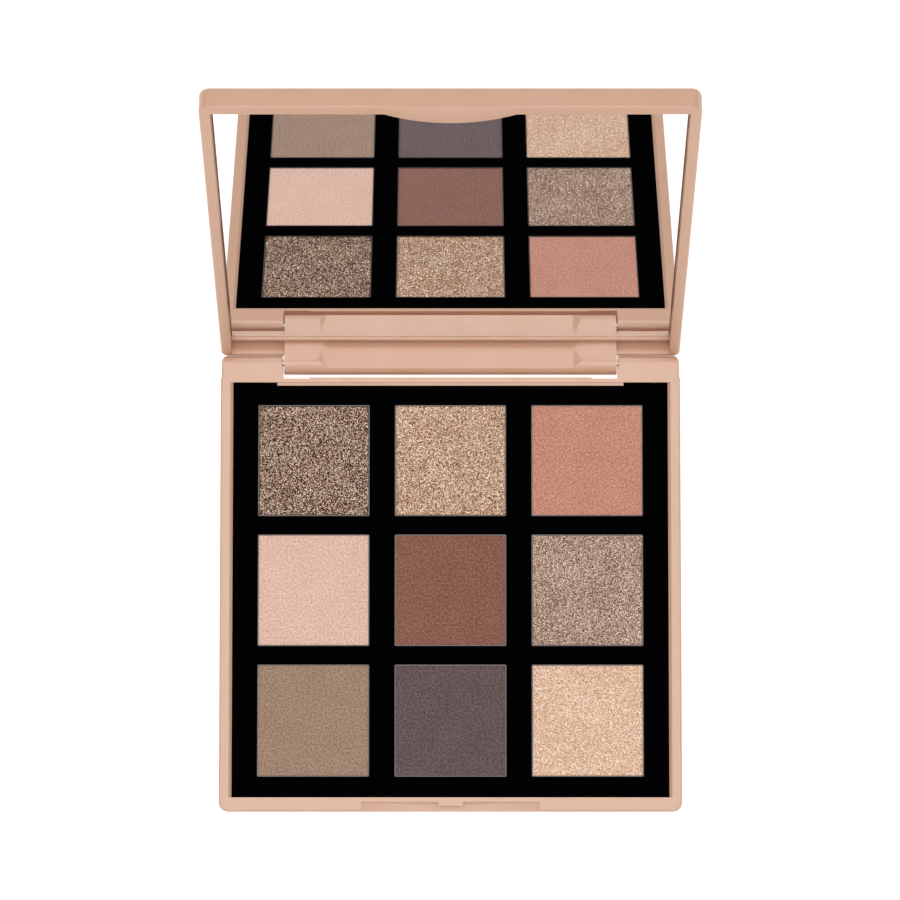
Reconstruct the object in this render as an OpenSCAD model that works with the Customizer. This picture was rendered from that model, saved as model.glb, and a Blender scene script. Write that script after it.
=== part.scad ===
// Slim eyeshadow palette: a flat case that opens like a book, with a full-size
// mirror in the lid and nine square pans of pressed powder in a black tray.
// The base lies on z = 0, centred on the origin, with the hinge towards +Y.
// The lid is drawn closed, then turned open about the hinge pins by lid_pose().

/* [Case] */
// Width of the closed palette, left to right
case_w = 99.4; // [84:0.1:130]
// Length of the base, front edge to hinge knuckles
case_l = 98.5; // [84:0.1:130]
// Height of the base, up to its rim
base_h = 7.4; // [6:0.1:12]
// Height of the lid over its rim
lid_h = 5.2; // [4.6:0.1:8]
// Radius of the case's front corners, seen from above
front_corner_r = 2; // [1.8:0.1:6]
// Radius of the case's rear corners, seen from above
rear_corner_r = 1.6; // [1:0.1:3]
// Rounding of the case's outer edges, top and bottom
outer_edge_r = 1.5; // [0.5:0.1:1.8]
// Rounding of the rims' outer edges
rim_edge_r = 0.4; // [0.2:0.05:0.6]
// Inset of the base's hinge posts from its sides
post_inset = 0.2; // [0:0.05:0.4]
// Length of the base's hinge posts, front to rear
post_l = 4.9; // [4:0.1:6]
// Gap between the two rims when the lid is shut
lid_gap = 0.1; // [0.05:0.05:0.4]
// Thickness of the base's floor
base_floor = 1.4; // [0.8:0.1:2]

/* [Lid] */
// Angle of the lid, from shut to fully open
open_angle = 113.8; // [60:0.1:116]
// Thickness of the lid's side walls
lid_side_wall = 2.25; // [1.5:0.05:3]
// Thickness of the lid's front wall
lid_front_wall = 2.6; // [1.8:0.05:4]
// Distance from the mirror's rib to the lid's rear face
lid_rear_wall = 2.6; // [2:0.05:3.5]
// Depth of the mirror's face under the lid's rim
mirror_depth = 2.95; // [2:0.05:3.2]
// Thickness of the mirror
mirror_t = 1; // [0.7:0.05:1.2]
// Thickness of the adhesive sheet behind the mirror
tape_t = 0.15; // [0.1:0.05:0.3]
// Gap around the mirror
mirror_clear = 0.15; // [0.05:0.05:0.4]
// Thickness of the lid's rear wall beside the hinge block
lid_rear_skin = 0.8; // [0.6:0.05:1.2]
// Width of the rib along the mirror's hinge edge
rib_w = 0.7; // [0.6:0.05:2.5]
// Step from that rib's rear face to the hinge block's root
rib_gap = 0.5; // [0.3:0.05:1]
// Height of that rib over the mirror's face
rib_h = 0.6; // [0.2:0.05:1]

/* [Finger lip and notch] */
// Width of the finger lip, along the lid's front edge
lip_w = 34.7; // [20:0.1:40]
// Reach of the finger lip, inwards from the lid's front face
lip_reach = 5.7; // [4:0.1:7]
// Thickness of the finger lip
lip_t = 1.6; // [1:0.1:2.5]
// Width of the flat band along the lip's inner edge
lip_band = 1.5; // [0.5:0.1:2]
// Depth of the lip's hollow at the front face
lip_hollow = 0.7; // [0.3:0.05:1]
// Width of the thumb hollow in the lid's front face, over the lip
thumb_w = 25; // [16:0.5:30]
// Height of the thumb hollow over the lid's rim
thumb_h = 2; // [1:0.1:3]
// Depth of the thumb hollow at the lid's rim
thumb_depth = 0.5; // [0.2:0.05:0.8]
// Length of the notch in the base's front edge
notch_l = 38.2; // [30:0.1:50]
// Depth of the notch, back from the front face
notch_back = 2.1; // [1:0.1:2.4]
// Depth of the notch's floor under the rim, at its middle
notch_down = 2.4; // [1:0.05:3]
// Depth of the notch's floor under the rim, at its ends
notch_end = 0.35; // [0.2:0.05:0.8]
// Width of the catch tab over the notch
tab_w = 5.4; // [3:0.1:10]
// Reach of the catch tab over the notch
tab_reach = 0.86; // [0.4:0.02:1.4]
// Thickness of the catch tab
tab_t = 1; // [0.6:0.1:1.6]

/* [Hinge] */
// Radius of the rear edge's knuckles
knuckle_r = 1.7; // [1.4:0.05:2.4]
// Radius of the lid's hinge block under the pins
block_r = 2.4; // [2:0.05:3]
// Length of the lid's hinge block
block_l = 72; // [50:0.1:80]
// Length of each thick end of the hinge block
block_end_l = 7.5; // [7.4:0.1:14]
// Depth of the hollow between the block's thick ends
block_hollow = 0.95; // [0.3:0.05:1.2]
// Run of the slope at each end of that hollow
block_slope = 2.1; // [0.5:0.1:4]
// Gap between the block's ends and the base
block_side_gap = 0.4; // [0.2:0.05:1]
// Gap between the block's front face and the base
block_front_gap = 0.8; // [0.5:0.05:1.5]
// Setback of the lid's rear face from the pins' axis
lid_setback = 0.1; // [0:0.05:0.5]
// Radius of the steel pins
pin_r = 0.6; // [0.4:0.05:0.8]
// Length of pin inside the hinge block, at each end
pin_grip = 6.4; // [3:0.1:7]
// Depth of each pin's outer end under the case's side
pin_sink = 0.3; // [0:0.05:1]
// Radial clearance of the pins in the hinge block
pin_clear = 0.05; // [0.02:0.01:0.1]

/* [Tray] */
// Depth of the tray's face under the base's rim
tray_drop = 0.6; // [0.3:0.05:1]
// Distance from the case's side to the tray's edge
tray_side = 2.75; // [2:0.05:4]
// Distance from the case's front to the tray's edge
tray_front = 3.1; // [2.8:0.05:4]
// Distance from the knuckles' rear to the tray's ears
tray_rear = 6; // [5.6:0.05:8]
// Setback of the tray's rear edge between its ears
ear_step = 0.65; // [0.2:0.05:1.5]
// Distance from the case's side to the inner end of each ear
ear_w = 12.2; // [10:0.1:13]
// Gap around the tray
tray_clear = 0.05; // [0.02:0.01:0.3]
// Thickness of the tray's face and its skirt
tray_wall = 0.9; // [0.6:0.05:1.2]
// Thickness of the tray under each pan
tray_floor = 1.1; // [0.6:0.05:1.6]

/* [Pans] */
// Distance from the case's side to the outer pans
pan_side = 8.2; // [7:0.05:12]
// Distance from the case's front to the front pans
pan_front = 7.5; // [6:0.05:12]
// Distance from the knuckles' rear to the rear pans
pan_rear = 10.9; // [9.5:0.05:14]
// Gap between pans, side to side
pan_gap_x = 5.5; // [2.5:0.05:8]
// Gap between pans, front to rear
pan_gap_y = 4.05; // [2.5:0.05:8]
// Gap around each pan in its well
pan_clear = 0.1; // [0.05:0.05:0.3]
// Height of the pans' rims over the tray
pan_proud = 0.1; // [0:0.05:0.5]
// Thickness of the pans' sheet metal
pan_wall = 0.2; // [0.15:0.05:0.5]
// Radius of the pans' corners
pan_corner_r = 0.3; // [0.3:0.05:2]
// Depth of the powder under the pans' rims
powder_drop = 0.15; // [0.1:0.05:1]
// Radius of the dot of glue under each pan
glue_r = 4; // [2:0.1:6]
// Thickness of that dot
glue_t = 0.1; // [0.05:0.05:0.3]

/* [Hidden] */
COLS = 3;
ROWS = 3;
PAN_NAMES = [for (i = [1 : ROWS * COLS]) str("pan_", i)];
POWDER_NAMES = [for (i = [1 : ROWS * COLS]) str("powder_", i)];

FINE = 96;          // facets of round features that others depend on
SOFT = 32;          // facets of the pans' corners
OVER = 1;           // how far a cut runs past the face it opens
EDGE_MIN = 0.1;     // what a corner's radius keeps over its edge's rounding
SIDES = [-1, 1];
ROSE = [0.89, 0.74, 0.66];
POWDERS = [
    [0.57, 0.46, 0.40], [0.76, 0.63, 0.52], [0.78, 0.54, 0.46],
    [0.89, 0.73, 0.65], [0.55, 0.36, 0.31], [0.69, 0.56, 0.49],
    [0.65, 0.53, 0.45], [0.42, 0.33, 0.33], [0.89, 0.74, 0.63]];

// The case's faces, and the pins' axis
side_x = case_w / 2;
front_y = -case_l / 2;
rear_y = case_l / 2;
hinge_y = rear_y - knuckle_r;
hinge_z = base_h - knuckle_r;
lid_z = base_h + lid_gap;
lid_rear_y = hinge_y - lid_setback;

// Heights inside the base
tray_z = base_h - tray_drop;
well_z = base_floor + tray_floor;
pan_z = well_z + glue_t;
pan_top_z = tray_z + pan_proud;
pan_h = pan_top_z - pan_z;
powder_h = pan_h - pan_wall - powder_drop;

// Heights and edges inside the lid
mirror_z = lid_z + mirror_depth;
tape_z = mirror_z + mirror_t;
lid_inner_z = tape_z + tape_t;
pocket_front_y = front_y + lid_front_wall;
pocket_rear_y = lid_rear_y - lid_rear_wall + rib_gap;
rib_rear_y = pocket_rear_y - rib_gap;
rib_y = rib_rear_y - rib_w;

// The tray's outline
tray_x = side_x - tray_side;
tray_front_y = front_y + tray_front;
tray_rear_y = rear_y - tray_rear;
tray_step_y = tray_rear_y - ear_step;
ear_x = side_x - ear_w;

// The pans' size and spacing
pan_w = (case_w - 2 * pan_side - (COLS - 1) * pan_gap_x) / COLS;
pan_l = (case_l - pan_front - pan_rear - (ROWS - 1) * pan_gap_y) / ROWS;
pitch_x = pan_w + pan_gap_x;
pitch_y = pan_l + pan_gap_y;

// The hinge block's place in the base
cutout_x = block_l / 2 + block_side_gap;
cutout_y = hinge_y - block_r - block_front_gap;

// The lip's inner edge is an arc through both ends of lip_w on the front face
lip_r = (pow(lip_w / 2, 2) + pow(lip_reach, 2)) / (2 * lip_reach);
lip_y = front_y + lip_reach - lip_r;

// Points of an arc about the origin, from angle a0 to a1
function arc(r, a0, a1, steps = 12) = [
    for (i = [0 : steps]) let (a = a0 + (a1 - a0) * i / steps) r * [cos(a), sin(a)]];

// Outline of what is cut away to round an edge at the origin whose solid lies
// towards -x and -y
function round_off(r) = concat([[OVER, OVER], [-r, OVER]],
    [for (p = arc(r, 90, 0, 8)) p - [r, r]], [[OVER, -r]]);

// A slab between two heights with rounded corners in plan. Its outer edges are
// rounded by outer_edge_r, at its top if outer is 1 and at its bottom if -1; the
// rim's edges, at its other face, by rim_edge_r.
module case_slab(y0, y1, z0, z1, outer, inset) {
    fillet_r = min(outer_edge_r, front_corner_r - EDGE_MIN, rear_corner_r - EDGE_MIN);
    difference() {
        plan_slab(y0, y1, z0, z1, inset);
        translate([0, 0, z1])
            edge_cutters(y0, y1, outer > 0 ? fillet_r : rim_edge_r, inset);
        translate([0, 0, z0])
            mirror([0, 0, 1])
                edge_cutters(y0, y1, outer > 0 ? rim_edge_r : fillet_r, inset);
    }
}

module plan_slab(y0, y1, z0, z1, inset) {
    rf = front_corner_r;
    rr = rear_corner_r;
    post_x = side_x - inset;
    for (s = SIDES) {
        translate([s * (side_x - rf), y0 + rf, z0]) cylinder(r = rf, h = z1 - z0, $fn = FINE);
        translate([s * (post_x - rr), y1 - rr, z0]) cylinder(r = rr, h = z1 - z0, $fn = FINE);
    }
    block([rf - side_x, y0, z0], [side_x - rf, y0 + rf, z1]);
    block([-side_x, y0 + rf, z0], [side_x, y1 - post_l, z1]);
    block([-post_x, y1 - post_l, z0], [post_x, y1 - rr, z1]);
    block([rr - post_x, y1 - rr, z0], [post_x - rr, y1, z1]);
}

// Cutters that round the slab's edges at z = 0, all round its plan
module edge_cutters(y0, y1, r, inset) {
    rf = front_corner_r;
    rr = rear_corner_r;
    post_x = side_x - inset;
    translate([0, y1, 0]) bar_x(2 * (post_x - rr), round_off(r));
    translate([0, y0, 0]) mirror([0, 1, 0]) bar_x(2 * (side_x - rf), round_off(r));
    for (s = [0, 1])
        mirror([s, 0, 0]) {
            translate([side_x, 0, 0]) bar_y(y0 + rf, y1 - post_l, round_off(r));
            translate([post_x, 0, 0]) bar_y(y1 - post_l, y1 - rr, round_off(r));
            translate([side_x - rf, y0 + rf, 0]) corner_cutter(-90, rf, r);
            translate([post_x - rr, y1 - rr, 0]) corner_cutter(0, rr, r);
        }
}

// The same round a quarter turn of radius corner_r about the origin
module corner_cutter(turn, corner_r, r) {
    rotate([0, 0, turn])
        rotate_extrude(angle = 90, $fn = FINE)
            polygon([for (p = round_off(r)) p + [corner_r, 0]]);
}

// A box given by its two corners
module block(from, to) {
    translate(from) cube(to - from);
}

// A straight bar along X with the outline [y, z], centred on x = 0
module bar_x(length, outline) {
    rotate([90, 0, 90])
        linear_extrude(length, center = true)
            polygon(outline);
}

// A straight bar along Y with the outline [x, z], from y0 to y1
module bar_y(y0, y1, outline) {
    translate([0, y1, 0])
        rotate([90, 0, 0])
            linear_extrude(y1 - y0)
                polygon(outline);
}

// A round rod along X, centred on x = 0
module rod_x(r, length) {
    rotate([0, 90, 0]) cylinder(r = r, h = length, center = true, $fn = FINE);
}

module at_hinge() {
    translate([0, hinge_y, hinge_z]) children();
}

// Turns what is drawn shut into the open position
module lid_pose() {
    at_hinge() rotate([-open_angle, 0, 0]) translate([0, -hinge_y, -hinge_z]) children();
}

// The middle of each pan, row by row from the hinge, left to right
module at_pan(i) {
    row = floor(i / COLS);
    col = i % COLS;
    translate([
        (col - (COLS - 1) / 2) * pitch_x,
        rear_y - pan_rear - pan_l / 2 - row * pitch_y,
        0]) children();
}

// An upright bar with square plan and rounded corners
module rounded_box(w, l, h, r) {
    for (x = SIDES, y = SIDES)
        translate([x * (w / 2 - r), y * (l / 2 - r), 0]) cylinder(r = r, h = h, $fn = SOFT);
    translate([-w / 2 + r, -l / 2, 0]) cube([w - 2 * r, l, h]);
    translate([-w / 2, -l / 2 + r, 0]) cube([w, l - 2 * r, h]);
}

// The tray's outline, from z0 to z1, with a margin added all round
module tray_outline(z0, z1, margin) {
    x = tray_x + margin;
    block([-x, tray_front_y - margin, z0], [x, tray_step_y + margin, z1]);
    for (s = SIDES)
        block([s < 0 ? -x : ear_x - margin, tray_step_y - OVER, z0],
            [s < 0 ? margin - ear_x : x, tray_rear_y + margin, z1]);
}

// ---- base ----

module base_shell() {
    color(ROSE) {
        difference() {
            case_slab(front_y, rear_y, 0, base_h, -1, post_inset);
            tray_outline(base_floor, base_h + OVER, tray_clear);
            rim_chamfers();
            knuckle_cut();
            hinge_cutout();
            finger_notch();
            at_hinge() rod_x(pin_r, case_w + OVER);
        }
        catch_tab();
    }
}

// Slopes from the rim down to the tray, along both sides and the rear
module rim_chamfers() {
    top = base_h + OVER;
    run = top - tray_z;
    x = tray_x + tray_clear;
    y = tray_step_y + tray_clear;
    bar_y(tray_front_y - tray_clear, tray_rear_y + tray_clear,
        [[-x, tray_z], [x, tray_z], [x + run, top], [-x - run, top]]);
    bar_x(2 * (ear_x - tray_clear),
        [[y - OVER, tray_z], [y, tray_z], [y + run, top], [y - OVER, top]]);
}

// Rounds the base's rear upper edge about the pins' axis
module knuckle_cut() {
    top = knuckle_r + OVER;
    at_hinge()
        bar_x(case_w + OVER, concat([[top, 0], [top, top], [0, top]], arc(knuckle_r, 90, 0)));
}

// Gap in the rear edge that the lid's hinge block turns in
module hinge_cutout() {
    step = 0.25;
    step_share = 0.78;  // of each thick end's length, taken by the step
    end_x = cutout_x - step_share * block_end_l;
    block([-cutout_x, cutout_y, -OVER], [cutout_x, rear_y + OVER, base_h + OVER]);
    for (s = SIDES)
        block([s < 0 ? -cutout_x : end_x, cutout_y - step, -OVER],
            [s < 0 ? -end_x : cutout_x, rear_y, base_h + OVER]);
}

// Finger notch under the lid's lip: its floor dips in a wide arc towards the
// middle, and its rear wall is upright
module finger_notch() {
    half = notch_l / 2;
    dip = notch_down - notch_end;
    r = (pow(half, 2) + pow(dip, 2)) / (2 * dip);
    swing = asin(half / r);
    bed = [for (p = arc(r, -90 - swing, swing - 90, 2 * SOFT))
        p + [0, base_h - notch_down + r]];
    bar_y(front_y - OVER, front_y + notch_back,
        concat([[half, base_h + OVER], [-half, base_h + OVER]], bed));
}

module catch_tab() {
    y = front_y + notch_back;
    block([-tab_w / 2, y - tab_reach, base_h - tab_t], [tab_w / 2, y + tab_reach, base_h]);
}

module hinge_pin(side) {
    length = side_x - pin_sink - block_l / 2 + pin_grip;
    color("silver")
        at_hinge()
            translate([side * (side_x - pin_sink - length / 2), 0, 0])
                rod_x(pin_r, length);
}

// ---- tray, pans and powder ----

module pan_tray() {
    color([0.02, 0.02, 0.025])
        difference() {
            tray_outline(base_floor, tray_z, 0);
            for (i = [0 : ROWS * COLS - 1])
                at_pan(i)
                    translate([0, 0, well_z])
                        rounded_box(pan_w + 2 * pan_clear, pan_l + 2 * pan_clear,
                            base_h, pan_corner_r + pan_clear);
            difference() {
                tray_outline(base_floor - OVER, tray_z - tray_wall, -tray_wall);
                for (i = [0 : ROWS * COLS - 1])
                    at_pan(i) well_wall();
            }
        }
}

// The solid around one well, under the tray's face
module well_wall() {
    w = pan_w + 2 * (pan_clear + tray_wall);
    l = pan_l + 2 * (pan_clear + tray_wall);
    translate([-w / 2, -l / 2, 0]) cube([w, l, base_h]);
}

module pan(i) {
    color([0.8, 0.8, 0.78])
        at_pan(i)
            translate([0, 0, pan_z])
                difference() {
                    rounded_box(pan_w, pan_l, pan_h, pan_corner_r);
                    translate([0, 0, pan_wall])
                        rounded_box(pan_w - 2 * pan_wall, pan_l - 2 * pan_wall,
                            pan_h, pan_corner_r - pan_wall / 2);
                }
}

module powder(i) {
    color(POWDERS[i])
        at_pan(i)
            translate([0, 0, pan_z + pan_wall])
                rounded_box(pan_w - 2 * pan_wall, pan_l - 2 * pan_wall,
                    powder_h, pan_corner_r - pan_wall / 2);
}

module pan_glue() {
    color("white")
        for (i = [0 : ROWS * COLS - 1])
            at_pan(i)
                translate([0, 0, well_z]) cylinder(r = glue_r, h = glue_t, $fn = FINE);
}

// ---- lid ----

module lid_shell() {
    color(ROSE)
        lid_pose()
            difference() {
                union() {
                    difference() {
                        case_slab(front_y, lid_rear_y, lid_z, lid_z + lid_h, 1, 0);
                        block([lid_side_wall - side_x, pocket_front_y, lid_z - OVER],
                            [side_x - lid_side_wall, pocket_rear_y, lid_inner_z]);
                        rear_recesses();
                        block_scoop();
                    }
                    mirror_rib();
                    finger_lip();
                    hinge_block();
                }
                lip_cone();
                thumb_hollow();
                at_hinge() pin_bores();
            }
}

// Deep recess in the rear wall at each side of the hinge block
module rear_recesses() {
    x0 = block_l / 2;
    x1 = side_x - lid_side_wall;
    for (s = SIDES)
        block([s < 0 ? -x1 : x0, pocket_rear_y - OVER, lid_z - OVER],
            [s < 0 ? -x0 : x1, lid_rear_y - lid_rear_skin, lid_inner_z]);
}

module mirror_rib() {
    x = side_x - lid_side_wall;
    block([-x, rib_y, mirror_z - rib_h], [x, rib_rear_y, lid_inner_z]);
}

module finger_lip() {
    intersection() {
        translate([0, lip_y, lid_z]) cylinder(r = lip_r, h = lip_t, $fn = 4 * FINE);
        block([-lip_w / 2, pocket_front_y - lid_front_wall / 2, lid_z],
            [lip_w / 2, front_y + lip_reach + OVER, lid_z + lip_t]);
    }
}

// Shallow cone that hollows the lip's underside towards the front face
module lip_cone() {
    slope = lip_hollow / (lip_reach - lip_band);
    run = lip_t / slope;
    translate([0, lip_y, lid_z - OVER])
        cylinder(r1 = lip_r - lip_band + OVER / slope, r2 = lip_r - lip_band - run,
            h = lip_t + OVER, $fn = 4 * FINE);
}

// Shallow cone that hollows the lid's front face over the lip. It starts at the
// rim and runs out towards the lid's top.
module thumb_hollow() {
    r = (pow(thumb_w / 2, 2) + pow(thumb_depth, 2)) / (2 * thumb_depth);
    slope = thumb_depth / thumb_h;
    translate([0, front_y + thumb_depth - r, lid_z - OVER])
        cylinder(r1 = r + OVER * slope, r2 = r - (thumb_h + OVER) * slope,
            h = thumb_h + 2 * OVER, $fn = 4 * FINE);
}

// Bar that hangs from the lid's rear wall and carries the pins. Its outline is
// given about the pins' axis: y grows to the rear, z up.
module hinge_block() {
    wall_y = pocket_rear_y - hinge_y;
    root_z = mirror_z - rib_h - hinge_z;
    flat_end = -acos(knuckle_r / block_r);
    difference() {
        at_hinge()
            bar_x(block_l, concat(
                [[-lid_setback, root_z]],
                arc(knuckle_r, 90, 0),
                arc(block_r, flat_end, -180),
                [[wall_y, root_z]]));
        block_scoop();
    }
}

// Hollow along the middle of the block's front face, with sloped ends
module block_scoop() {
    out_y = -block_r - lid_rear_wall;
    in_y = block_hollow - block_r;
    mouth_x = block_l / 2 - block_end_l;
    floor_x = mouth_x - block_slope;
    grow = (block_slope / block_hollow) * (in_y - out_y);
    translate([0, hinge_y, hinge_z - block_r])
        linear_extrude(lid_inner_z - hinge_z + block_r)
            polygon([[floor_x, in_y], [-floor_x, in_y],
                [-floor_x - grow, out_y], [floor_x + grow, out_y]]);
}

module pin_bores() {
    depth = pin_grip + pin_clear;
    for (s = SIDES)
        translate([s * (block_l / 2 - depth / 2 + OVER / 2), 0, 0])
            rod_x(pin_r + pin_clear, depth + OVER);
}

module mirror_sheet(z, t) {
    lid_pose()
        block([lid_side_wall + mirror_clear - side_x, pocket_front_y + mirror_clear, z],
            [side_x - lid_side_wall - mirror_clear, rib_y - mirror_clear, z + t]);
}

module mirror_tape() {
    color("white") mirror_sheet(tape_z, tape_t);
}

module mirror_glass() {
    color("lightsteelblue") mirror_sheet(mirror_z, mirror_t);
}

base_shell();
pan_tray();
hinge_pin(-1);  // hinge_pin_left
hinge_pin(1);  // hinge_pin_right
pan_glue();
for (i = [0 : ROWS * COLS - 1]) {
    pan(i);
    powder(i);
}
lid_shell();
mirror_tape();
mirror_glass();
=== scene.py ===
"""Looks of the eyeshadow palette: satin nude case, mirror lid and nine pressed powders.

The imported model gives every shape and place. This script adds the finish of each
surface, the flakes of the glitter shades, the camera, the lights and the floor.
"""

import math

import bmesh
import bpy
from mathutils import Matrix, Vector


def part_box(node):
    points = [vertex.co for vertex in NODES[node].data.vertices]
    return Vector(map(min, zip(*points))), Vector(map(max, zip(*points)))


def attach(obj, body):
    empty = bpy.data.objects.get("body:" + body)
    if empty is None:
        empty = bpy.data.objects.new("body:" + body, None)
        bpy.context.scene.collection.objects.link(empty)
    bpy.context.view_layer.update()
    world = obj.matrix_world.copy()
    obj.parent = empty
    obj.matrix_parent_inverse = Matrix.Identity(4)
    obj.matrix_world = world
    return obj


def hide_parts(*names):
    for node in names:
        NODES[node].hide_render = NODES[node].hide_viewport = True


MM = 0.001
SEED = 7

# Brightness of the studio's walls: sine of the height over the horizon, brightness
WALLS = [(0.0, 0.64), (0.7, 0.3), (1.0, 0.2)]
# Soft lights: name, size (m), place (m), power (W)
LIGHTS = [
    ("overhead_softbox", (1.0, 0.9), (0, 0.0, 1.3), 8.2),
    ("front_softbox", (0.9, 0.35), (0, -0.64, 0.86), 1.9),
    ("rear_softbox", (0.9, 0.4), (0, 0.8, 0.7), 1.1),
    ("left_softbox", (0.5, 0.7), (-0.75, 0.0, 0.55), 0.8),
    ("right_softbox", (0.5, 0.7), (0.75, 0.0, 0.55), 0.8),
]
# Point that every light faces (m)
LIGHT_AIM = (0, 0.02, 0.02)
# Width of the floor's paper (m)
FLOOR_WIDTH = 6
# The floor's own glow, which keeps the paper white under the soft lights
FLOOR_GLOW = 1.6

# Width of the eased edges of the two shells (mm)
BASE_EDGE = 0.15
LID_EDGE = 0.2
# Flat steps across an eased edge
EDGE_STEPS = 3
# Corners of the CAD mesh closer than this are merged (mm)
MERGE_WITHIN = 0.002
# Below the first angle two faces are one flat face, above the second they make an edge
FLAT_ANGLE = math.radians(0.5)
EDGE_ANGLE = math.radians(25)

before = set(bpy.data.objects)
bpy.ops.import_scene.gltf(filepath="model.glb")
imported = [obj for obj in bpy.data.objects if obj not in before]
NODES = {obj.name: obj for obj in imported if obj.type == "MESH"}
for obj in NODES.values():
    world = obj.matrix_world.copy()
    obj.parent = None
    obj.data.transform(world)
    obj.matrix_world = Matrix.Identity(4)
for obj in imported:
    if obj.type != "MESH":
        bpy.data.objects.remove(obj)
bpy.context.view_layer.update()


# ---- small helpers ----

def linear(hex_colour):
    """A colour written as sRGB hex, as the linear RGBA that shaders take."""
    channels = [int(hex_colour[i:i + 2], 16) / 255 for i in (0, 2, 4)]
    curved = [c / 12.92 if c <= 0.04045 else ((c + 0.055) / 1.055) ** 2.4 for c in channels]
    return curved + [1.0]


def add(tree, kind, links=None, props=None, sockets=None):
    """Adds a node. props are its own settings; sockets and links give its inputs
    values and wires, by name or number."""
    node = tree.nodes.new(kind)
    for key, value in (props or {}).items():
        setattr(node, key, value)
    for key, value in (sockets or {}).items():
        node.inputs[key].default_value = value
    for key, source in (links or {}).items():
        tree.links.new(source, node.inputs[key])
    return node


def material(name):
    """An empty material, its node tree and its Object coordinates."""
    mat = bpy.data.materials.new(name)
    mat.use_nodes = True
    tree = mat.node_tree
    tree.nodes.clear()
    place = add(tree, "ShaderNodeTexCoord").outputs["Object"]
    return mat, tree, place


def ramp(tree, source, stops):
    """Colour ramp from (position, hex or grey) stops."""
    node = add(tree, "ShaderNodeValToRGB", {"Fac": source})
    elements = node.color_ramp.elements
    while len(elements) < len(stops):
        elements.new(0.5)
    for element, (position, colour) in zip(elements, stops):
        element.position = position
        element.color = linear(colour) if isinstance(colour, str) else (colour, colour, colour, 1)
    return node.outputs["Color"]


def finish_surface(tree, links, sockets):
    """Ends a material in one shader with these wires and values."""
    shader = add(tree, "ShaderNodeBsdfPrincipled", links, sockets=sockets)
    add(tree, "ShaderNodeOutputMaterial", {"Surface": shader.outputs["BSDF"]})


# ---- camera, light and floor ----

def make_camera():
    """Looks almost straight down on the open palette, from a little in front of it."""
    distance = 896 * MM
    elevation = math.radians(84.66)
    target = Vector((0, 28.64, 6.8)) * MM
    data = bpy.data.cameras.new("camera")
    data.lens = 165.8
    data.sensor_width = 36
    data.shift_x = -0.0005
    data.clip_start = 0.01
    data.clip_end = 10
    camera = bpy.data.objects.new("camera", data)
    back = Vector((0, -math.cos(elevation), math.sin(elevation)))
    camera.location = target + back * distance
    camera.rotation_mode = "QUATERNION"
    camera.rotation_quaternion = (-back).to_track_quat("-Z", "Y")
    bpy.context.scene.collection.objects.link(camera)
    bpy.context.scene.camera = camera


def make_light(name, size, place, power):
    """A soft light that faces the middle of the palette."""
    data = bpy.data.lights.new(name, "AREA")
    data.shape = "RECTANGLE"
    data.size, data.size_y = size
    data.energy = power
    light = bpy.data.objects.new(name, data)
    light.location = place
    aim = Vector(LIGHT_AIM) - Vector(place)
    light.rotation_mode = "QUATERNION"
    light.rotation_quaternion = aim.to_track_quat("-Z", "Y")
    bpy.context.scene.collection.objects.link(light)


def make_studio():
    """Pale walls, brightest at the horizon, and the soft lights."""
    world = bpy.data.worlds.new("studio")
    world.use_nodes = True
    tree = world.node_tree
    toward = add(tree, "ShaderNodeTexCoord").outputs["Generated"]
    height = add(tree, "ShaderNodeSeparateXYZ", {0: toward}).outputs["Z"]
    glow = ramp(tree, height, WALLS)
    tree.links.new(glow, tree.nodes["Background"].inputs["Color"])
    bpy.context.scene.world = world
    for light in LIGHTS:
        make_light(*light)
    bpy.context.scene.view_settings.view_transform = "Standard"


def make_floor():
    """A wide sheet of white paper, with a grain too fine to notice."""
    bpy.ops.mesh.primitive_plane_add(size=FLOOR_WIDTH, location=(0, 0, 0))
    floor = bpy.context.object
    floor.name = "floor"
    mat, tree, place = material("white_paper_floor")
    grain = add(tree, "ShaderNodeTexNoise", {"Vector": place}, sockets={"Scale": 900.0})
    tone = ramp(tree, grain.outputs["Fac"], [(0, 0.5), (1, 0.52)])
    finish_surface(tree, {"Base Color": tone, "Emission Color": tone},
                   {"Roughness": 0.9, "Specular IOR Level": 0.1, "Emission Strength": FLOOR_GLOW})
    floor.data.materials.append(mat)


# ---- materials ----

def case_plastic():
    """ABS moulded in a lightly blasted tool. The eye sees a satin, warm nude skin
    with soft highlights along its edges. The blasted grain is too fine to make out."""
    cloud_mm = 9
    grain_mm = 0.12
    grain_depth_mm = 0.01
    mat, tree, place = material("satin_nude_abs")
    cloud = add(tree, "ShaderNodeTexNoise", {"Vector": place},
                sockets={"Scale": 1 / (cloud_mm * MM), "Detail": 2.0})
    base = ramp(tree, cloud.outputs["Fac"], [(0.3, "cc9f82"), (0.7, "cea288")])
    grain = add(tree, "ShaderNodeTexNoise", {"Vector": place},
                sockets={"Scale": 1 / (grain_mm * MM), "Detail": 1.0})
    bump = add(tree, "ShaderNodeBump", {"Height": grain.outputs["Fac"]},
               sockets={"Strength": 0.12, "Distance": grain_depth_mm * MM})
    finish_surface(tree, {"Base Color": base, "Normal": bump.outputs["Normal"]},
                   {"Roughness": 0.28, "IOR": 1.54, "Specular IOR Level": 0.65})
    return mat


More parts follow.
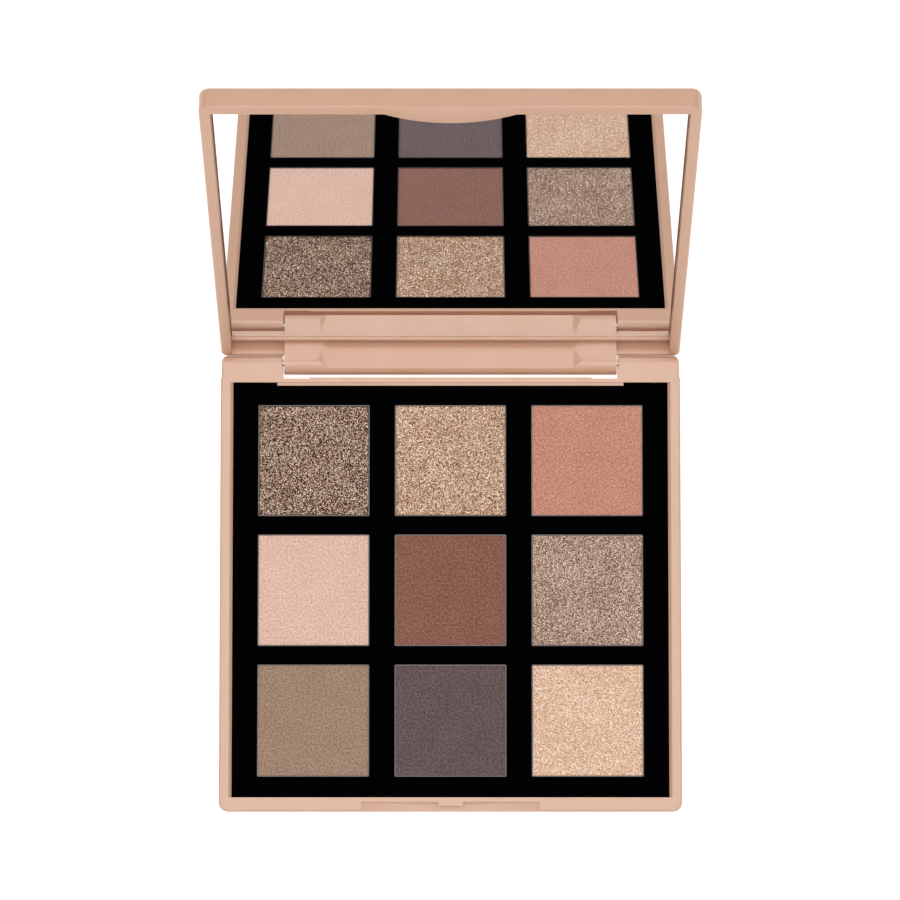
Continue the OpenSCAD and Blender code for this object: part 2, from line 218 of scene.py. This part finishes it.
def tray_plastic():
    """Polystyrene moulded in a spark-eroded tool. It swallows light, so the insert
    reads as deep matte black around the pans, and its grain is too fine to make out."""
    grain_mm = 0.15
    grain_depth_mm = 0.01
    mat, tree, place = material("matte_black_polystyrene")
    grain = add(tree, "ShaderNodeTexNoise", {"Vector": place},
                sockets={"Scale": 1 / (grain_mm * MM), "Detail": 2.0})
    base = ramp(tree, grain.outputs["Fac"], [(0.3, "010102"), (0.7, "040405")])
    bump = add(tree, "ShaderNodeBump", {"Height": grain.outputs["Fac"]},
               sockets={"Strength": 0.3, "Distance": grain_depth_mm * MM})
    finish_surface(tree, {"Base Color": base, "Normal": bump.outputs["Normal"]},
                   {"Roughness": 0.6, "IOR": 1.5, "Specular IOR Level": 0.0})
    return mat


def stamped_metal():
    """Aluminium drawn from sheet and left bare. Only the pan's thin rim shows, as a
    dull grey line round the powder."""
    streak_mm = 0.4
    mat, tree, place = material("drawn_aluminium_pan")
    streaks = add(tree, "ShaderNodeTexNoise", {"Vector": place},
                  sockets={"Scale": 1 / (streak_mm * MM), "Detail": 3.0})
    base = ramp(tree, streaks.outputs["Fac"], [(0.3, "4a4644"), (0.7, "65615e")])
    rough = ramp(tree, streaks.outputs["Fac"], [(0.3, 0.3), (0.7, 0.45)])
    finish_surface(tree, {"Base Color": base, "Roughness": rough}, {"Metallic": 1.0})
    return mat


def pin_steel():
    """Drawn steel wire. A pale metal with fine rings along it, seen as a small disc
    in the case's side."""
    ring_mm = 0.3
    mat, tree, place = material("drawn_steel_pin")
    rings = add(tree, "ShaderNodeTexWave", {"Vector": place}, {"bands_direction": "X"},
                {"Scale": 1 / (ring_mm * MM), "Distortion": 2.0})
    rough = ramp(tree, rings.outputs["Fac"], [(0, 0.25), (1, 0.4)])
    base = ramp(tree, rings.outputs["Fac"], [(0, "b8b9bb"), (1, "c8c9ca")])
    finish_surface(tree, {"Base Color": base, "Roughness": rough}, {"Metallic": 1.0})
    return mat


def mirror_silver():
    """Silvered float glass. A clear mirror with the faintest clouds in its silver."""
    cloud_mm = 20
    mat, tree, place = material("silvered_mirror_glass")
    cloud = add(tree, "ShaderNodeTexNoise", {"Vector": place},
                sockets={"Scale": 1 / (cloud_mm * MM)})
    base = ramp(tree, cloud.outputs["Fac"], [(0, "f7f7f8"), (1, "f9f9fa")])
    finish_surface(tree, {"Base Color": base}, {"Metallic": 1.0, "Roughness": 0.01})
    return mat


def soft_glue(name, low, high, grain_mm):
    """Hot-melt glue or adhesive sheet. Dull and slightly clouded, and out of sight
    once the palette is assembled."""
    mat, tree, place = material(name)
    cloud = add(tree, "ShaderNodeTexNoise", {"Vector": place},
                sockets={"Scale": 1 / (grain_mm * MM), "Detail": 3.0})
    base = ramp(tree, cloud.outputs["Fac"], [(0.3, low), (0.7, high)])
    finish_surface(tree, {"Base Color": base}, {"Roughness": 0.6, "IOR": 1.48})
    return mat


def powder(name, dark, middle, light, contrast, roughness, sheen):
    """Pressed powder. It shows as a soft, dry cake with lighter and darker specks.
    Real grains are far finer, so these are drawn 0.45 mm across to show. contrast
    sets how far the specks leave the middle colour."""
    grain_mm = 0.45
    grain_depth_mm = 0.06
    patch_mm = 5
    patch_share = 0.12
    centre = 0.56
    spread = 0.14 / contrast
    mat, tree, place = material(name)
    grain = add(tree, "ShaderNodeTexNoise", {"Vector": place},
                sockets={"Scale": 1 / (grain_mm * MM), "Detail": 2.0, "Roughness": 0.6})
    patches = add(tree, "ShaderNodeTexNoise", {"Vector": place},
                  sockets={"Scale": 1 / (patch_mm * MM), "Detail": 2.0})
    mixed = add(tree, "ShaderNodeMath", {0: patches.outputs["Fac"], 2: grain.outputs["Fac"]},
                {"operation": "MULTIPLY_ADD"}, {1: patch_share})
    base = ramp(tree, mixed.outputs["Value"],
                [(centre - spread, dark), (centre, middle), (centre + spread, light)])
    bump = add(tree, "ShaderNodeBump", {"Height": grain.outputs["Fac"]},
               sockets={"Strength": 0.5, "Distance": grain_depth_mm * MM})
    finish_surface(tree, {"Base Color": base, "Normal": bump.outputs["Normal"]},
                   {"Roughness": roughness, "Sheen Weight": sheen, "Specular IOR Level": 0.2})
    return mat


def flake_film(name, dark, middle, light, metallic, roughness):
    """Chopped pearl film. Each flake gets a random tone that is painted light and shade:
    the dark end paints a shaded flake and the light end a painted glint, so the powder
    sparkles, and wide soft patches lean light or dark. A second draw tints some flakes
    golden and some pink."""
    patch_mm = 6
    patch_share = 0.3
    tint_share = 0.7
    mat, tree, place = material(name)
    # tone is each flake's random place between painted shade and a painted glint
    tone = add(tree, "ShaderNodeAttribute", props={"attribute_name": "tone"})
    patches = add(tree, "ShaderNodeTexNoise", {"Vector": place},
                  sockets={"Scale": 1 / (patch_mm * MM), "Detail": 1.0})
    lean = add(tree, "ShaderNodeMath", {0: patches.outputs["Fac"], 2: tone.outputs["Fac"]},
               {"operation": "MULTIPLY_ADD"}, {1: patch_share})
    # The dark stop paints a shaded flake, the light stop a painted glint
    base = ramp(tree, lean.outputs["Value"], [(0.42, dark), (0.66, middle), (0.88, light)])
    hue = add(tree, "ShaderNodeAttribute", props={"attribute_name": "hue"})
    tint = ramp(tree, hue.outputs["Fac"], [(0.0, "ffe6c2"), (0.5, "fffaf4"), (1.0, "fbe4ea")])
    mixed = add(tree, "ShaderNodeMix", {6: base, 7: tint},
                {"data_type": "RGBA", "blend_type": "MULTIPLY"}, {0: tint_share})
    finish_surface(tree, {"Base Color": mixed.outputs[2]},
                   {"Metallic": metallic, "Roughness": roughness})
    return mat


# Powders in the pans' order: name, dark, middle and light colour, contrast,
# roughness, sheen
SHADES = [
    ("taupe_glitter_powder", "22110a", "50301f", "7c5641", 1.0, 0.6, 0.0),
    ("gold_glitter_powder", "704830", "a4775a", "cca284", 1.0, 0.6, 0.0),
    ("coral_matte_powder", "af7460", "c38774", "d39a87", 1.0, 0.85, 0.35),
    ("peach_matte_powder", "d0a592", "e0b8a6", "eccaba", 0.9, 0.85, 0.35),
    ("red_brown_matte_powder", "764a3a", "86584a", "95685a", 1.15, 0.85, 0.35),
    ("taupe_shimmer_powder", "6d5243", "8d7060", "a58877", 0.9, 0.6, 0.0),
    ("tan_matte_powder", "8d6e5f", "9d806c", "ad917b", 1.05, 0.85, 0.35),
    ("plum_grey_matte_powder", "524140", "614f4f", "705e5d", 1.2, 0.85, 0.35),
    ("champagne_satin_powder", "b58a6e", "cfa688", "e3bfa2", 0.8, 0.6, 0.0),
]
# Pan number, flake width (mm), flakes per mm2, greatest tilt (degrees), then the
# film: name, dark, middle and light colour, metallic, roughness. The dark colour paints
# a shaded flake and the light colour a painted glint. Real flakes are finer, so these
# are drawn coarser to show.
FLAKES = [
    (1, 0.26, 34, 36, ("taupe_glitter_film", "100704", "dfac95", "fff4e0", 0.62, 0.28)),
    (2, 0.26, 34, 32, ("gold_glitter_film", "582e16", "ffdcb6", "fffcec", 0.62, 0.28)),
    (6, 0.25, 36, 30, ("taupe_shimmer_film", "3e2416", "eabda2", "fff2e2", 0.56, 0.32)),
    (9, 0.24, 36, 24, ("champagne_satin_film", "b58059", "ffe8ca", "fffcf0", 0.5, 0.36)),
]
# Smallest and largest size of a flake along its own axes, in flake widths
FLAKE_SMALLEST = (0.6, 0.6, 0.12)
FLAKE_LARGEST = (1.3, 1.3, 0.16)


def flake_tree():
    """Geometry nodes: flakes scattered at random tilts over one powder's top."""
    tree = bpy.data.node_groups.new("pressed_flakes", "GeometryNodeTree")
    face = tree.interface
    face.new_socket("Flakes", in_out="OUTPUT", socket_type="NodeSocketGeometry")
    keys = {}
    for name, kind in [("Width", "Float"), ("Length", "Float"), ("Place", "Vector"),
                       ("Flake Width", "Float"), ("Flakes per Area", "Float"),
                       ("Tilt", "Float"), ("Seed", "Int"), ("Film", "Material")]:
        item = face.new_socket(name, in_out="INPUT", socket_type="NodeSocket" + kind)
        keys[name] = item.identifier
    given = add(tree, "NodeGroupInput").outputs
    grid = add(tree, "GeometryNodeMeshGrid", {"Size X": given["Width"], "Size Y": given["Length"]},
               sockets={"Vertices X": 2, "Vertices Y": 2})
    top = add(tree, "GeometryNodeTransform",
              {"Geometry": grid.outputs["Mesh"], "Translation": given["Place"]})
    points = add(tree, "GeometryNodeDistributePointsOnFaces",
                 {"Mesh": top.outputs["Geometry"], "Density": given["Flakes per Area"],
                  "Seed": given["Seed"]})
    # Eight small faces, which the sizes below press into a flake
    flake = add(tree, "GeometryNodeMeshUVSphere",
                sockets={"Segments": 4, "Rings": 2, "Radius": 0.5})
    back = add(tree, "ShaderNodeMath", {0: given["Tilt"]}, props={"operation": "MULTIPLY"},
               sockets={1: -1.0})
    low = add(tree, "ShaderNodeCombineXYZ", {0: back.outputs[0], 1: back.outputs[0]},
              sockets={2: -math.pi})
    high = add(tree, "ShaderNodeCombineXYZ", {0: given["Tilt"], 1: given["Tilt"]},
               sockets={2: math.pi})
    turn = add(tree, "FunctionNodeRandomValue",
               {0: low.outputs[0], 1: high.outputs[0], "Seed": given["Seed"]},
               props={"data_type": "FLOAT_VECTOR"})
    spread = add(tree, "FunctionNodeRandomValue", {"Seed": given["Seed"]},
                 {"data_type": "FLOAT_VECTOR"}, {0: FLAKE_SMALLEST, 1: FLAKE_LARGEST})
    size = add(tree, "ShaderNodeVectorMath",
               {0: spread.outputs[0], "Scale": given["Flake Width"]},
               props={"operation": "SCALE"})
    flakes = add(tree, "GeometryNodeInstanceOnPoints",
                 {"Points": points.outputs["Points"], "Instance": flake.outputs["Mesh"],
                  "Rotation": turn.outputs[0], "Scale": size.outputs[0]})
    last = flakes.outputs["Instances"]
    # tone sets how far each flake is painted from shade to glint; hue sets its tint
    for offset, name in enumerate(["tone", "hue"], start=1):
        pick = add(tree, "FunctionNodeRandomValue", props={"data_type": "FLOAT"},
                   sockets={2: 0.0, 3: 1.0, "Seed": SEED + offset})
        kept = add(tree, "GeometryNodeStoreNamedAttribute",
                   {"Geometry": last, "Value": pick.outputs[1]},
                   props={"data_type": "FLOAT", "domain": "INSTANCE"}, sockets={"Name": name})
        last = kept.outputs["Geometry"]
    real = add(tree, "GeometryNodeRealizeInstances", {"Geometry": last})
    film = add(tree, "GeometryNodeSetMaterial",
               {"Geometry": real.outputs["Geometry"], "Material": given["Film"]})
    add(tree, "NodeGroupOutput", {"Flakes": film.outputs["Geometry"]})
    return tree, keys


def make_flakes():
    """One piece of flakes for each glittering shade, lying in its powder's top."""
    tree, keys = flake_tree()
    for number, width, density, tilt, film in FLAKES:
        low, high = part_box(f"powder_{number}")
        margin = 0.5 * width * MM
        values = {
            "Width": high[0] - low[0] - 2 * margin,
            "Length": high[1] - low[1] - 2 * margin,
            "Place": ((low[0] + high[0]) / 2, (low[1] + high[1]) / 2, high[2]),
            "Flake Width": width * MM,
            "Flakes per Area": density / MM ** 2,
            "Tilt": math.radians(tilt),
            "Seed": SEED + number,
            "Film": flake_film(*film),
        }
        name = f"powder_{number}_flakes"
        piece = bpy.data.objects.new(name, bpy.data.meshes.new(name))
        bpy.context.scene.collection.objects.link(piece)
        maker = piece.modifiers.new("flakes", "NODES")
        maker.node_group = tree
        for key, value in values.items():
            maker[keys[key]] = value
        made = bpy.context.evaluated_depsgraph_get()
        mesh = bpy.data.meshes.new_from_object(piece.evaluated_get(made))
        piece.modifiers.clear()
        piece.data = mesh
        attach(piece, "base")


def eased(node, body, width_mm):
    """Replaces a CAD node with a copy whose edges are eased, as moulded edges are."""
    piece = bpy.data.objects.new(node + "_moulded", NODES[node].data.copy())
    bpy.context.scene.collection.objects.link(piece)
    shape = bmesh.new()
    shape.from_mesh(piece.data)
    bmesh.ops.remove_doubles(shape, verts=shape.verts, dist=MERGE_WITHIN * MM)
    bmesh.ops.dissolve_limit(shape, angle_limit=FLAT_ANGLE, verts=shape.verts, edges=shape.edges)
    shape.to_mesh(piece.data)
    shape.free()
    ease = piece.modifiers.new("eased_edges", "BEVEL")
    ease.width = width_mm * MM
    ease.segments = EDGE_STEPS
    ease.limit_method = "ANGLE"
    ease.angle_limit = EDGE_ANGLE
    ease.miter_outer = "MITER_ARC"
    level = piece.modifiers.new("flat_faces", "WEIGHTED_NORMAL")
    level.keep_sharp = True
    piece.data.shade_smooth()
    made = bpy.context.evaluated_depsgraph_get()
    mesh = bpy.data.meshes.new_from_object(piece.evaluated_get(made))
    piece.modifiers.clear()
    piece.data = mesh
    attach(piece, body)
    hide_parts(node)
    return piece


def dress(node, mat):
    """Gives a CAD node its finish."""
    slots = NODES[node].data.materials
    slots.clear()
    slots.append(mat)


def dress_all():
    """Eases the two shells and gives every node its finish."""
    case = case_plastic()
    metal = stamped_metal()
    steel = pin_steel()
    shells = [("base_shell", "base", BASE_EDGE), ("lid_shell", "lid", LID_EDGE)]
    for node, body, width_mm in shells:
        shell = eased(node, body, width_mm)
        shell.data.materials.clear()
        shell.data.materials.append(case)
    dress("pan_tray", tray_plastic())
    dress("mirror_glass", mirror_silver())
    dress("mirror_tape", soft_glue("white_adhesive_sheet", "e4e4e0", "efefeb", 2))
    dress("pan_glue", soft_glue("clear_pan_glue", "d9d2bf", "e6e0cf", 1))
    dress("hinge_pin_left", steel)
    dress("hinge_pin_right", steel)
    for number, shade in enumerate(SHADES, start=1):
        dress(f"pan_{number}", metal)
        dress(f"powder_{number}", powder(*shade))


make_camera()
make_studio()
make_floor()
dress_all()
make_flakes()
